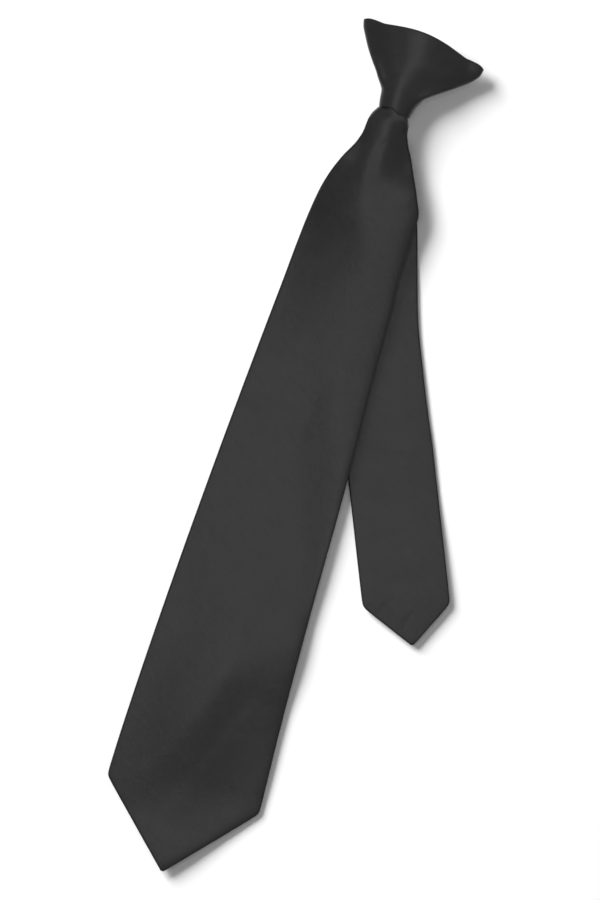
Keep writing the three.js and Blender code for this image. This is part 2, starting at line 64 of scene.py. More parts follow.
# Tail blade
TAIL_LENGTH = 279 * MM
TAIL_WIDTH = 45.8 * MM
TAIL_THICKNESS = 2.4 * MM
TAIL_DESCENT = 60 * MM
TAIL_TIP_LIFT = 2 * MM
TAIL_LIFT_START = 195 * MM
TAIL_LIFT_LENGTH = 60 * MM
TAIL_POINT_ANGLE = radians(93.4)
TAIL_POINT_TURN = radians(-1.2)
TAIL_POINT_SHIFT = 0.8 * MM
TAIL_MOUTH_SHARE = 0.8
TAIL_MOUTH_SWELL = 1.12
TAIL_SEAM_END = TAIL_LENGTH - 62 * MM
TAIL_SEAM_FOLD = 0.8 * MM
TAIL_SHOWS = 60 * MM
TAIL_SWING = (radians(15.2), radians(23.8))
TAIL_BEND = (0.3, 0.7)

# Knot
KNOT_HEIGHT = 39.6 * MM
KNOT_ARCH = 3.7 * MM
KNOT_ARCH_WIDTH = 48 * MM
KNOT_ARCH_FULLNESS = 1.3
KNOT_TOP_WIDTH = 68 * MM
KNOT_NECK_WIDTH = 16.4 * MM
KNOT_NECK_DEPTH = 12 * MM
KNOT_TOP_DEPTH = 14 * MM
KNOT_CORNER_DROP = 1.6 * MM
KNOT_BACK_DIP = 4.6 * MM
CLOTH_WALL = 1.5 * MM
KNOT_CORNER_SHARPNESS = 18
KNOT_MOUTH_ROUNDNESS = 2.6
KNOT_RIM_BLUNTNESS = 9
MOUTH_LIP_REACH = 0.16
TOP_LIP_BULGE = 0.4
MOUTH_LIP_BULGE = 0.12
RIDGE_FALL_SHARE = 0.85
RIDGE_SOFT = 0.6 * MM

# Clip
CLIP_WIDTH = 20 * MM
CLIP_THICKNESS = 0.9 * MM
CLIP_PLATE_LENGTH = 20 * MM
CLIP_BEND_DROP = 2.6 * MM
COLLAR_SLOT = 5 * MM
PRONG_WIDTH = 6.2 * MM
PRONG_LENGTH = 28 * MM
PRONG_FLAT_LENGTH = 10 * MM
PRONG_PINCH = 1.1 * MM
PRONG_LIP = 0.5 * MM
SLOT_END_INSET = 3.5 * MM
PINCH_SHARE = 0.65
PLATE_CORNER = 2 * MM
PRONG_END_SHARE = 0.49
SLOT_END_SHARE = 0.8
CLIP_EDGE = 0.15 * MM
CLIP_SHARP_ANGLE = radians(40)
END_FACING = 0.9
BEND_STEPS = 16
PINCH_STEPS = 12
PRONG_END_STEPS = 8
SLOT_END_STEPS = 6
PLATE_CORNER_STEPS = 5
CLIP_EDGE_STEPS = 2

# Fits
CLEARANCE = 0.3 * MM
DRAPE_WIDTH = 32 * MM
INSIDE_KNOT = 10 * MM
CORNER_ROUND = 1.5 * MM
TIP_ROUND = 0.8 * MM
EDGE_BLUNTNESS = 2.2

# Steps along the centre lines, the outlines and the points, and how near counts as the same place
LINE_STEP = 0.25 * MM
OUTLINE_STEP = 0.2 * MM
TIP_STEP = 0.1 * MM
BEFORE_POINT = 3 * MM
UPRIGHT_WITHIN = 0.01 * MM
NEAR_WITHIN = 0.05 * MM

# Levels, from the surface up
KNOT_BACK_LEVEL = CLIP_THICKNESS + COLLAR_SLOT
MOUTH_LEVEL = KNOT_BACK_LEVEL + KNOT_NECK_DEPTH / 2
MOUTH_HALF_DEPTH = KNOT_NECK_DEPTH / 2 - CLOTH_WALL - CLEARANCE
FRONT_MOUTH_HALF = KNOT_NECK_WIDTH / 2 - CLOTH_WALL - CLEARANCE
TAIL_MOUTH_HALF = FRONT_MOUTH_HALF * TAIL_MOUTH_SHARE
TAIL_MOUTH_LEVEL = MOUTH_LEVEL - MOUTH_HALF_DEPTH
TAIL_MOUTH_THICKNESS = TAIL_THICKNESS * TAIL_MOUTH_SWELL
FRONT_MOUTH_LEVEL = TAIL_MOUTH_LEVEL + TAIL_MOUTH_THICKNESS + CLEARANCE
FRONT_MOUTH_THICKNESS = MOUTH_LEVEL + MOUTH_HALF_DEPTH - FRONT_MOUTH_LEVEL

# Outline of the front blade: share of its length, spread of its left and right edge, and fullness
FRONT_OUTLINE = {
    "along": (0.001, 0.0055, 0.012, 0.02, 0.0338, 0.0483, 0.0725, 0.0967, 0.1208, 0.157, 0.1933, 0.2417,
              0.3383, 0.4833, 0.6283, 0.7733, 0.87, 1),
    "left": (0.068, 0.1, 0.138, 0.16, 0.172, 0.218, 0.36, 0.47, 0.541, 0.595, 0.626, 0.657,
             0.725, 0.816, 0.888, 0.938, 0.953, 0.953),
    "right": (0.022, 0.055, 0.09, 0.1, 0.16, 0.256, 0.402, 0.54, 0.644, 0.642, 0.638, 0.677,
              0.733, 0.822, 0.88, 0.957, 1.03, 1.14),
    "thick": (1.8, 1.8, 1.8, 1.8, 1.75, 1.65, 1.45, 1.25, 1.12, 1.02, 1, 1, 1, 1, 1, 1, 1, 1),
}

# Outline of the tail blade, the same on both sides
TAIL_OUTLINE = {
    "along": (0.002, 0.04, 0.105, 0.17, 0.215, 0.3, 0.39, 0.475, 0.56, 0.65, 1),
    "left": (0, 0.13, 0.36, 0.53, 0.6, 0.66, 0.73, 0.85, 0.94, 1, 1),
    "right": (0, 0.13, 0.36, 0.53, 0.6, 0.66, 0.73, 0.85, 0.94, 1, 1),
}

# Sections of the knot: share of its height, spread of each side, growth of the depth, and how flat the
# wings are
KNOT_SECTIONS = {
    "along": (0, 0.05, 0.12, 0.2, 0.255, 0.305, 0.355, 0.41, 0.505, 0.655, 0.81, 0.92, 1),
    "left": (0.03, 0.055, 0.082, 0.11, 0.16, 0.226, 0.292, 0.355, 0.488, 0.682, 0.85, 0.956, 1),
    "right": (0, 0.004, 0.016, 0.05, 0.082, 0.118, 0.188, 0.27, 0.426, 0.67, 0.892, 0.985, 1),
    "depth": (0, 0.04, 0.08, 0.12, 0.16, 0.2, 0.26, 0.32, 0.45, 0.66, 0.86, 0.97, 1),
    "flat": (0, 0.03, 0.1, 0.26, 0.4, 0.52, 0.62, 0.71, 0.83, 0.94, 0.99, 1, 1),
}


def mix(a, b, share):
    return a + (b - a) * share


def ramp(share):
    """Rises smoothly from 0 to 1."""
    share = np.clip(share, 0.0, 1.0)
    return share * share * (3.0 - 2.0 * share)


def hump(place, middle, width):
    return np.exp(-(((place - middle) / width) ** 2))


def greater(a, b, soft):
    """The greater of two heights, with the crease between them softened."""
    return (a + b + np.sqrt((a - b) ** 2 + soft**2) - soft) / 2


def lesser_width(a, b):
    return (a + b - np.hypot(a - b, CORNER_ROUND)) / 2


def curve_through(table, name, places):
    """A smooth curve through one column of a table, which never overshoots its rows."""
    along, values = (np.array(table[key], float) for key in ("along", name))
    slopes = np.diff(values) / np.diff(along)
    before, after = np.append(slopes[0], slopes), np.append(slopes, slopes[-1])
    same_way = before * after > 0
    tangents = np.where(same_way, 2 * before * after / np.where(same_way, before + after, 1), 0)
    places = np.clip(places, along[0], along[-1])
    high = np.clip(np.searchsorted(along, places), 1, len(along) - 1)
    low = high - 1
    span = along[high] - along[low]
    t = (places - along[low]) / span
    bend = t * (1 - t) ** 2 * tangents[low] - t * t * (1 - t) * tangents[high]
    return mix(values[low], values[high], ramp(t)) + bend * span


def follow(distances, heading_at):
    """Centre line from the neck by its heading away from straight down: places, and its headings."""
    fine = np.arange(-INSIDE_KNOT, FRONT_LENGTH + MM, LINE_STEP)
    heading = heading_at(fine)
    step = np.diff(fine)
    middle = (heading[1:] + heading[:-1]) / 2
    x = np.append(0, np.cumsum(np.sin(middle) * step))
    y = np.append(0, np.cumsum(-np.cos(middle) * step))
    x -= np.interp(0, fine, x)
    y -= np.interp(0, fine, y)
    return np.interp(distances, fine, x), np.interp(distances, fine, y), heading_at(distances)


class Blade:
    """Outline of a blade, cut to a point at its lower end."""

    def __init__(self, outline, length, width, mouth_half, point_angle, point_turn, point_shift, heading_at):
        self.outline, self.length, self.width, self.mouth_half = outline, length, width, mouth_half
        self.slopes = (tan(point_angle / 2 + point_turn), tan(point_angle / 2 - point_turn))
        self.point_shift, self.heading_at = point_shift, heading_at
        self.corner = length - width / 2 / tan(point_angle / 2)

    def edges(self, distances):
        """Half widths to the left and to the right."""
        beyond = np.maximum(self.length - distances, 0)
        share = distances / self.length
        shift = self.point_shift * ramp(share)
        halves = []
        for name, slope, sign in (("left", self.slopes[0], -1), ("right", self.slopes[1], 1)):
            half = mix(self.mouth_half, self.width / 2, curve_through(self.outline, name, share))
            point = beyond * slope + sign * shift + TIP_ROUND
            beyond_tip = TIP_ROUND + sign * self.point_shift
            halves.append(np.where(beyond > 0, lesser_width(half, point), beyond_tip))
        return halves

    def place(self, laterals, distances):
        x, y, heading = follow(distances, self.heading_at)
        return x + np.cos(heading) * laterals, y + np.sin(heading) * laterals

    def outline_tree(self):
        """Finds the nearest place on the outline."""
        distances = np.arange(-INSIDE_KNOT, self.length, OUTLINE_STEP)
        left, right = self.edges(distances)
        tip = np.arange(-left[-1], right[-1], TIP_STEP)
        laterals = np.concatenate((-left, right, tip))
        xs, ys = self.place(laterals, np.concatenate((distances, distances, np.full(len(tip), self.length))))
        tree = KDTree(len(xs))
        for i, (x, y) in enumerate(zip(xs, ys)):
            tree.insert((x, y, 0), i)
        tree.balance()
        return tree


def front_heading(distances):
    return -KNOT_TURN * (1 - ramp(distances / INSIDE_KNOT))


def tail_heading(distances):
    bend = ramp((distances / TAIL_LENGTH - TAIL_BEND[0]) / (TAIL_BEND[1] - TAIL_BEND[0]))
    return mix(-KNOT_TURN, mix(*TAIL_SWING, bend), ramp(distances / INSIDE_KNOT))


FRONT = Blade(FRONT_OUTLINE, FRONT_LENGTH, FRONT_WIDTH, FRONT_MOUTH_HALF,
              FRONT_POINT_ANGLE, FRONT_POINT_TURN, FRONT_POINT_SHIFT, front_heading)
TAIL = Blade(TAIL_OUTLINE, TAIL_LENGTH, TAIL_WIDTH, TAIL_MOUTH_HALF,
             TAIL_POINT_ANGLE, TAIL_POINT_TURN, TAIL_POINT_SHIFT, tail_heading)


def tail_thickness(distances):
    return mix(TAIL_MOUTH_THICKNESS, TAIL_THICKNESS, ramp(distances / TAIL_DESCENT))


def tail_under(distances):
    tip_lift = TAIL_TIP_LIFT * ramp((distances - TAIL_LIFT_START) / TAIL_LIFT_LENGTH)
    return TAIL_MOUTH_LEVEL * (1 - ramp(distances / TAIL_DESCENT)) + tip_lift


def lift_over_tail(x, y):
    """How high the tail holds the front blade up, falling away beyond the tail's edges."""
    distances = np.arange(-INSIDE_KNOT, TAIL_LENGTH, LINE_STEP)
    cx, cy = TAIL.place(np.zeros(len(distances)), distances)
    left, right = TAIL.edges(distances)
    tree = KDTree(len(cx))
    for i in range(len(cx)):
        tree.insert((cx[i], cy[i], 0), i)
    tree.balance()
    found = [tree.find((a, b, 0)) for a, b in zip(x.ravel(), y.ravel())]
    nearest = np.array([f[1] for f in found]).reshape(x.shape)
    apart = np.array([f[2] for f in found]).reshape(x.shape)
    outside = np.maximum(apart - (left + right)[nearest] / 2, 0)
    top = (tail_under(distances) + tail_thickness(distances))[nearest]
    return (top + CLEARANCE) * (1 - ramp(outside / DRAPE_WIDTH))


# The crest of the gathered front blade, in mm down the blade: its place across, the slope and greatest fall
# of its left flank, and of the scoop on its right
CREST = {
    "along": (0, 2, 4, 6, 10, 15, 20, 25, 30, 33, 42, 50, 60, 70, 80, 100, 130, 160),
    "middle": (1.5, 0.5, -1.6, -2.4, -2.4, -2.6, -3.3, -3.9, -4.0, -3.9, -2.7, -0.5, 5, 10, 13, 15, 18, 18),
    "left_slope": (0.22, 0.25, 0.26, 0.27, 0.28, 0.28, 0.28, 0.28, 0.28, 0.28, 0.28, 0.28, 0.28, 0.26,
                   0.22, 0.155, 0.08, 0),
    "left_round": (4, 4, 4, 4, 4, 4, 4, 4, 4, 4, 5, 8, 13, 12, 12, 14, 20, 20),
    "left_fall": (1.6, 2.0, 2.3, 2.4, 2.3, 2.0, 1.7, 1.55, 1.6, 2.0, 4.3, 6.2, 7.2, 7.2, 6.6, 4.9, 2.8, 0),
}
SCOOP = {
    "along": (0, 3, 5, 8, 12, 16, 20, 24, 28, 32, 36, 40, 45),
    "edge": (1.5, 0, -1.3, -1.4, -1.2, -1.1, -0.9, -0.6, -0.4, 0, 0.5, 1, 1),
    "slope": (0, 0.03, 0.22, 0.34, 0.34, 0.34, 0.33, 0.32, 0.3, 0.25, 0.16, 0.07, 0),
    "fall": (0, 0.2, 1.4, 2.3, 2.8, 3.2, 3.5, 3.6, 3.3, 2.5, 1.5, 0.6, 0),
}
SCOOP_ROUND = 3.2 * MM
SCOOP_SOFT = 0.9 * MM
# The scoop's rows slant down to the right, from places across and down the blade in mm
SCOOP_SLANT = 0.22
SCOOP_SLANT_ACROSS = 3
SCOOP_SLANT_DOWN = 10


def flank(outward, slope, round_top, limit, soft=0.5 * MM):
    """Fall away from a rounded crest, which levels out at a limit."""
    fall = slope * (np.hypot(np.maximum(outward, 0), round_top) - round_top)
    return (fall + limit - np.sqrt((fall - limit) ** 2 + soft**2)) / 2 + soft / 2 * np.exp(-limit / soft)


def gather(x, y):
    """Fall of the gathered cloth on both sides of its crest."""
    down = -y / MM
    crest = curve_through(CREST, "middle", down) * MM
    left_slope = curve_through(CREST, "left_slope", down)
    left_limit = curve_through(CREST, "left_fall", down) * MM
    left_round = curve_through(CREST, "left_round", down) * MM
    left = flank(crest - x, left_slope, left_round, left_limit)
    slant = SCOOP_SLANT * np.maximum(x / MM - SCOOP_SLANT_ACROSS, 0)
    beside = down + slant * ramp((down - SCOOP_SLANT_DOWN) / SCOOP_SLANT_DOWN)
    edge = curve_through(SCOOP, "edge", beside) * MM
    right_slope = curve_through(SCOOP, "slope", beside)
    right_limit = curve_through(SCOOP, "fall", beside) * MM
    right = flank(x - edge, right_slope, SCOOP_ROUND, right_limit, SCOOP_SOFT)
    return left, right


def slow_waves(x, y, waves):
    """Very shallow unevenness: each wave has its length and direction, its phase and its height."""
    height = np.zeros_like(x)
    for length, direction, phase, size in waves:
        across = x * cos(radians(direction)) + y * sin(radians(direction))
        height += size * MM * np.sin(2 * pi * across / (length * MM) + phase)
    return height


def dents(x, y, table):
    """Small wrinkles: each has its place, its half length and half width, its direction and its height."""
    height = np.zeros_like(x)
    for px, py, half_length, half_width, direction, rise in table:
        angle = radians(direction)
        dx, dy = x - px * MM, y - py * MM
        along, across = dx * cos(angle) + dy * sin(angle), dy * cos(angle) - dx * sin(angle)
        height += rise * MM * hump(along, 0, half_length * MM) * hump(across, 0, half_width * MM)
    return height


# The soft step low on the front blade: a place that it passes, its direction, its width and drop, those of
# the gentle fall to the right of it, and where down the blade it comes and goes
FOLD_PLACE = (11 * MM, -310 * MM)
FOLD_DIRECTION = (0.93, 0.37)
FOLD_WIDTH = 22 * MM
FOLD_DROP = 2.3 * MM
FOLD_SIDE_PLACE = 20 * MM
FOLD_SIDE_WIDTH = 34 * MM
FOLD_SIDE_DROP = 2.1 * MM
FOLD_START = (280 * MM, 37 * MM)
FOLD_END = (362 * MM, 50 * MM)


def diagonal_fold(x, y):
    """A soft step low on the front blade, from the right higher up to the left lower down."""
    across = (x - FOLD_PLACE[0]) * FOLD_DIRECTION[0] - (y - FOLD_PLACE[1]) * FOLD_DIRECTION[1]
    come = ramp((-y - FOLD_START[0]) / FOLD_START[1])
    gone = ramp((-y - FOLD_END[0]) / FOLD_END[1])
    gentle = FOLD_SIDE_DROP * ramp((across - FOLD_SIDE_PLACE) / FOLD_SIDE_WIDTH + 0.5)
    return -(FOLD_DROP * ramp(across / FOLD_WIDTH + 0.5) + gentle) * (come * (1 - gone))


FRONT_DENTS = ((8.0, -7.6, 1.4, 1.0, 75, -0.6), (-0.4, -17, 2.4, 1.1, 62, -0.12),
               (4.5, -56, 3, 1.6, 20, 0.1), (20.5, -42, 4, 1.6, 70, 0.14), (11, -43, 4, 1.8, 60, -0.1))
TAIL_DENTS = ((56.5, -167, 5, 1.1, 8, 0.16), (57, -170, 5, 1.1, 12, -0.1), (84.8, -220, 5, 1.1, 14, 0.16),
              (71.5, -249, 7, 1.4, 70, -0.16), (85.6, -251, 5, 1.3, 75, -0.14), (70, -196, 5, 1.1, 10, 0.12))

# The lower end of the front blade arches off the surface, in mm down the blade
LOWER_ARCH = {
    "along": (0, 150, 215, 250, 285, 310, 335, 355, 374, 392, 430),
    "lift": (0, 0.5, 1.4, 2.2, 3.8, 5.2, 5.4, 5.0, 4.2, 3.4, 3.6),
}
# It slants, and is lower on the left
ARCH_SLANT = 0.1
ARCH_LEFT_SHARE = 0.4
ARCH_LEFT_EDGE = 38 * MM
ARCH_LEFT_WIDTH = 44 * MM
# How far the right edge of the front blade is rolled off, in mm down the blade
EDGE_ROLL = {"along": (0, 38, 50, 65, 80, 110, 430), "drop": (0, 0.3, 1.1, 1.1, 0.8, 0.7, 0.6)}
EDGE_ROLL_WIDTH = 2.6 * MM
FRONT_WAVES = ((83, 74, 0.4, 0.10), (57, 118, 1.9, 0.07), (41, 31, 4.2, 0.045), (29, 160, 2.7, 0.03))
TAIL_WAVES = ((61, 80, 2.1, 0.06), (37, 128, 0.3, 0.04), (23, 22, 3.8, 0.02))
WAVES_START = 80 * MM
FRONT_WAVE_BASE = 0.25 * MM
TAIL_WAVE_BASE = 0.12 * MM

# Grids of the blades, their rolled edges and crowns, and the share of the thickness above the edge's level
FRONT_ROWS = {"fine_until": 72 * MM, "fine_step": 0.75 * MM, "step": 1.6 * MM, "point_step": 0.8 * MM}
TAIL_ROWS = {"fine_until": 40 * MM, "fine_step": 1.2 * MM, "step": 1.6 * MM, "point_step": 0.8 * MM}
FRONT_COLUMNS = 66
TAIL_COLUMNS = 40
FRONT_ROLL = 1.1 * MM
TAIL_ROLL = 1.0 * MM
FRONT_CROWN = {"crown": 0.16, "crown_width": 4.5 * MM}
TAIL_CROWN = {"crown": 0.14, "crown_width": 3.5 * MM}
FRONT_ABOVE = 0.32
TAIL_ABOVE = 0.35

# How the front blade leaves the mouth: where its sides droop, and where the cloth under its crest and its
# scoop bends down with them, from a distance and over a length
SIDE_DROOP = 0.06
MOUTH_SWELL_LENGTH = 4 * MM
CREST_FOLLOW = (22 * MM, 28 * MM)
SCOOP_FOLLOW = (8 * MM, 16 * MM)
SCOOP_FOLLOW_SHARE = 0.6
FALL_FOLLOW = (-MM, 2 * MM)
LIE_SOFT = 1.2 * MM
LIE_SOFT_LENGTH = 20 * MM
GATHER_END = 60 * MM
LEAST_THICKNESS = 0.6 * MM
TOP_FILL = 1.5

# The cloth's texture: its scale, and where each piece is cut from
UV_SCALE = 10
UV_FRONT_BACK = 0.2
UV_TAIL = 0.4
UV_TAIL_BACK = 0.5
UV_KNOT = 0.7

# Points closer than the first are merged, and edges shorter than the second are dropped
MERGE_DISTANCE = 0.01 * MM
SHORTEST_EDGE = 0.005 * MM


def cloth_rows(blade, fine_until, fine_step, step, point_step):
    """Distances of the rows of a blade's grid."""
    to_point = blade.corner - BEFORE_POINT
    parts = [
        np.linspace(-INSIDE_KNOT, fine_until, int((fine_until + INSIDE_KNOT) / fine_step) + 1),
        np.linspace(fine_until, to_point, int((to_point - fine_until) / step) + 1)[1:],
        np.linspace(to_point, blade.length, int((blade.length - to_point) / point_step) + 1)[1:],
    ]
    return np.concatenate(parts)


def across_rows(left, right, roll, count, turns=8):
    """Lateral places from the left edge to the right, close together over both rolled edges."""
    roll = np.minimum(roll, (left + right) / 4)
    angles = np.linspace(0, pi / 2, turns)
    edge = roll[:, None] * (1 - np.cos(angles))[None, :]
    inner = np.linspace(0, 1, count)[None, 1:-1]
    middle = (roll - left)[:, None] + (left + right - 2 * roll)[:, None] * inner
    return np.hstack((edge - left[:, None], middle, right[:, None] - edge[:, ::-1]))


def edge_profile(x, y, tree, roll, crown, crown_width):
    """Share of the half thickness: a rolled edge, and a slight crown further in."""
    apart = np.array([tree.find((a, b, 0))[2] for a, b in zip(x.ravel(), y.ravel())]).reshape(x.shape)
    inward = np.clip(apart / roll, 0, 1)
    rolled = np.maximum(1 - (1 - inward) ** EDGE_BLUNTNESS, 0) ** (1 / EDGE_BLUNTNESS)
    return rolled * (1 - crown * np.exp(-apart / crown_width))


def closed_cloth(name, upper, lower, upper_uv, lower_uv):
    """A closed piece from an upper and a lower grid that meet at both sides."""
    rows, columns, _ = upper.shape
    loop = np.concatenate((upper, lower[:, -2:0:-1]), axis=1)
    loop_uv = np.concatenate((upper_uv, lower_uv[:, -2:0:-1]), axis=1)
    count = loop.shape[1]
    mesh = bpy.data.meshes.new(name)
    here = (np.arange(rows - 1)[:, None] * count + np.arange(count)[None, :])
    next_column = (np.arange(rows - 1)[:, None] * count + (np.arange(count)[None, :] + 1) % count)
    quads = np.stack((here, here + count, next_column + count, next_column), axis=-1).reshape(-1, 4)
    faces = quads.tolist()
    last = (rows - 1) * count
    for low, high in zip(range(count // 2), range(count - 1, 0, -1)):
        if low + 1 < high:
            faces.append((high, low, low + 1, high - 1) if low + 1 < high - 1 else (high, low, low + 1))
            end = (last + low, last + high, last + high - 1, last + low + 1)
            faces.append(end if low + 1 < high - 1 else end[:2] + end[3:])
    mesh.from_pydata(loop.reshape(-1, 3).tolist(), [], faces)
    uv = mesh.uv_layers.new(name="cloth")
    corners = np.array([v for face in faces for v in face])
    uv.data.foreach_set("uv", loop_uv.reshape(-1, 2)[corners].astype(np.float32).ravel())
    mesh.validate()
    piece = bpy.data.objects.new(name, mesh)
    bpy.context.scene.collection.objects.link(piece)
    tidy(piece)
    return piece


def tidy(piece):
    """Merges doubled points, drops faces without area and shades the piece smooth."""
    work = bmesh.new()
    work.from_mesh(piece.data)
    bmesh.ops.remove_doubles(work, verts=work.verts, dist=MERGE_DISTANCE)
    bmesh.ops.dissolve_degenerate(work, edges=work.edges, dist=SHORTEST_EDGE)
    if work.calc_volume(signed=True) < 0:
        bmesh.ops.reverse_faces(work, faces=work.faces)
    for face in work.faces:
        face.smooth = True
    work.to_mesh(piece.data)
    work.free()


# The back seam: how wide its flaps part towards the point and how fast, where their edges lie, and how
# soft and deep the steps at them are
SEAM_SPREAD = 0.92
SEAM_CURVE = 1.15
SEAM_REACH = 1.4
SEAM_OVER_EDGE = 3.5 * MM
SEAM_OVER_SPREAD = 1.08
SEAM_UNDER_EDGE = 2 * MM
SEAM_STEP = 0.45 * MM
SEAM_UNDER_DEPTH = 0.45
SEAM_UNDER_FADE = 16 * MM
SEAM_OPEN_DEPTH = 0.75
SEAM_OPEN_START = 0.03
SEAM_MOUTH = 12 * MM


def back_seam(lateral, distance, blade, seam_end, fold):
    """How far the back is let in: one flap lies over the other, and both part above the point."""
    below = np.clip((distance - seam_end) / (blade.corner - seam_end), 0, SEAM_REACH)
    open_half = SEAM_SPREAD * blade.width / 2 * below ** SEAM_CURVE
    over_edge = SEAM_OVER_EDGE - open_half * SEAM_OVER_SPREAD
    under_edge = open_half - SEAM_UNDER_EDGE
    flap_edge = ramp((lateral - over_edge) / SEAM_STEP)
    fade = np.exp(-np.maximum(lateral - over_edge, 0) / SEAM_UNDER_FADE)
    under = SEAM_UNDER_DEPTH * flap_edge * fade
    opened = ramp(below / SEAM_OPEN_START) * flap_edge * (1 - ramp((lateral - under_edge) / SEAM_STEP))
    out_of_mouth = ramp(distance / SEAM_MOUTH)
    return fold * np.maximum(under, SEAM_OPEN_DEPTH * opened) * out_of_mouth


def front_blade():
    """The wide blade: gathered at the mouth, lying over the tail blade, and arched at its lower end."""
    rows = cloth_rows(FRONT, **FRONT_ROWS)
    left, right = FRONT.edges(rows)
    thick = FRONT_THICKNESS * curve_through(FRONT_OUTLINE, "thick", rows / FRONT_LENGTH)
    thick = mix(FRONT_MOUTH_THICKNESS, thick, ramp(rows / MOUTH_SWELL_LENGTH))[:, None]
    above = mix(1, FRONT_ABOVE, ramp(rows / INSIDE_KNOT))[:, None]
    roll = np.full(len(rows), FRONT_ROLL)
    lateral = across_rows(left, right, roll, FRONT_COLUMNS)
    distance = np.broadcast_to(rows[:, None], lateral.shape)
    x, y = FRONT.place(lateral, distance)
    profile = edge_profile(x, y, FRONT.outline_tree(), roll[:, None], **FRONT_CROWN)

    share = lateral / np.where(lateral < 0, left[:, None], right[:, None])
    droop = 1 - SIDE_DROOP * share**2 * ramp(distance / (2 * INSIDE_KNOT))
    left_fall, right_fall = gather(x, y)
    bent = left_fall * ramp((distance - CREST_FOLLOW[0]) / CREST_FOLLOW[1])
    bent = bent + right_fall * SCOOP_FOLLOW_SHARE * ramp((distance - SCOOP_FOLLOW[0]) / SCOOP_FOLLOW[1])
    rise = FRONT_MOUTH_LEVEL * (1 - ramp(distance / FRONT_DESCENT)) * droop - bent
    on_tail = lift_over_tail(x, y)
    lie = greater(rise, on_tail, LIE_SOFT * ramp(distance / LIE_SOFT_LENGTH))
    under = np.where(distance > 0, lie, FRONT_MOUTH_LEVEL)
    under = np.maximum(under, on_tail * (distance > 0))

    wavy = ramp(distance / WAVES_START)
    under = under + np.maximum(slow_waves(x, y, FRONT_WAVES) * wavy + FRONT_WAVE_BASE * wavy, 0)
    arch = curve_through(LOWER_ARCH, "lift", (distance - ARCH_SLANT * lateral) / MM) * MM
    to_right = ramp((lateral + ARCH_LEFT_EDGE) / ARCH_LEFT_WIDTH)
    arch = arch * (ARCH_LEFT_SHARE + (1 - ARCH_LEFT_SHARE) * to_right) + diagonal_fold(x, y)
    small = dents(x, y, FRONT_DENTS)
    under = under + np.maximum(arch, 0) + small * (distance > GATHER_END)
    level = under + thick * (1 - above)

    right_gap = right[:, None] - lateral
    roll_off = curve_through(EDGE_ROLL, "drop", distance / MM) * MM * np.exp(-right_gap / EDGE_ROLL_WIDTH)
    fall = left_fall - bent + right_fall + roll_off
    fall = fall * ramp((distance - FALL_FOLLOW[0]) / FALL_FOLLOW[1])
    top = level + thick * above * profile - fall * np.minimum(profile * TOP_FILL, 1)
    top += small * (distance <= GATHER_END) * profile
    seam = back_seam(lateral, distance, FRONT, FRONT_SEAM_END, FRONT_SEAM_FOLD)
    bottom = level - (thick * (1 - above) - seam) * profile
    top = np.maximum(top, bottom + LEAST_THICKNESS * profile)

    upper = np.stack((x, y, top), -1)
    lower = np.stack((x, y, bottom), -1)
    uv = np.stack((lateral, distance), axis=-1) * UV_SCALE
    back_uv = np.stack((lateral + UV_FRONT_BACK, distance), axis=-1) * UV_SCALE
    return closed_cloth("satin_front_blade", upper, lower, uv, back_uv)


def tail_blade():
    """The narrow blade: it comes down from the mouth, lies on the surface and lifts a little at its point."""
    rows = cloth_rows(TAIL, **TAIL_ROWS)
    left, right = TAIL.edges(rows)
    thick = tail_thickness(rows)[:, None]
    above = mix(0, TAIL_ABOVE, ramp(rows / INSIDE_KNOT))[:, None]
    roll = np.full(len(rows), TAIL_ROLL)
    lateral = across_rows(left, right, roll, TAIL_COLUMNS)
    distance = np.broadcast_to(rows[:, None], lateral.shape)
    x, y = TAIL.place(lateral, distance)
    profile = edge_profile(x, y, TAIL.outline_tree(), roll[:, None], **TAIL_CROWN)
    hidden = 1 - ramp((distance - TAIL_SHOWS) / TAIL_SHOWS)
    waves = slow_waves(x, y, TAIL_WAVES) * (1 - hidden)
    waves = np.maximum(waves + TAIL_WAVE_BASE * (1 - hidden), 0)
    under = tail_under(distance) + waves + dents(x, y, TAIL_DENTS)
    level = under + thick * (1 - above)
    seam = back_seam(lateral, distance, TAIL, TAIL_SEAM_END, TAIL_SEAM_FOLD)
    upper = np.stack((x, y, level + thick * above * profile), -1)
    lower = np.stack((x, y, level - (thick * (1 - above) - seam) * profile), -1)
    uv = np.stack((lateral + UV_TAIL, distance), axis=-1) * UV_SCALE
    back_uv = np.stack((lateral + UV_TAIL_BACK, distance), axis=-1) * UV_SCALE
    return closed_cloth("satin_tail_blade", upper, lower, uv, back_uv)


# The soft ridge down the front of the knot, in mm of the knot's own frame: its middle, the slope, rounding
# and greatest fall of the flanks to both sides of it, and how blunt the knot's sides are
KNOT_RIDGE = {
    "along": (0, 3, 8, 12, 15, 20, 25, 30, 36, 43),
    "middle": (-1.3, -1.3, -2.0, -2.4, -2.5, -2.4, -1.4, -1.0, -1.9, -2.6),
    "left_slope": (0.3, 0.3, 0.36, 0.4, 0.4, 0.38, 0.34, 0.34, 0.34, 0.34),
    "right_slope": (0.3, 0.3, 0.33, 0.35, 0.35, 0.34, 0.33, 0.32, 0.33, 0.33),
    "left_round": (3.8, 3.8, 4.1, 4.3, 4.6, 5.4, 7, 10, 12, 14),
    "right_round": (3.8, 3.8, 4.1, 4.4, 4.8, 5.4, 7, 9, 9, 10),
    "left_limit": (9, 9, 2.6, 2.0, 2.3, 3.6, 7, 9, 9, 9),
    "right_limit": (9, 9, 3.0, 2.4, 2.7, 4.2, 7, 8, 6.7, 6.4),
    "bluntness": (4.5, 4.5, 5, 9, 11, 10, 7, 6, 6, 6),
}

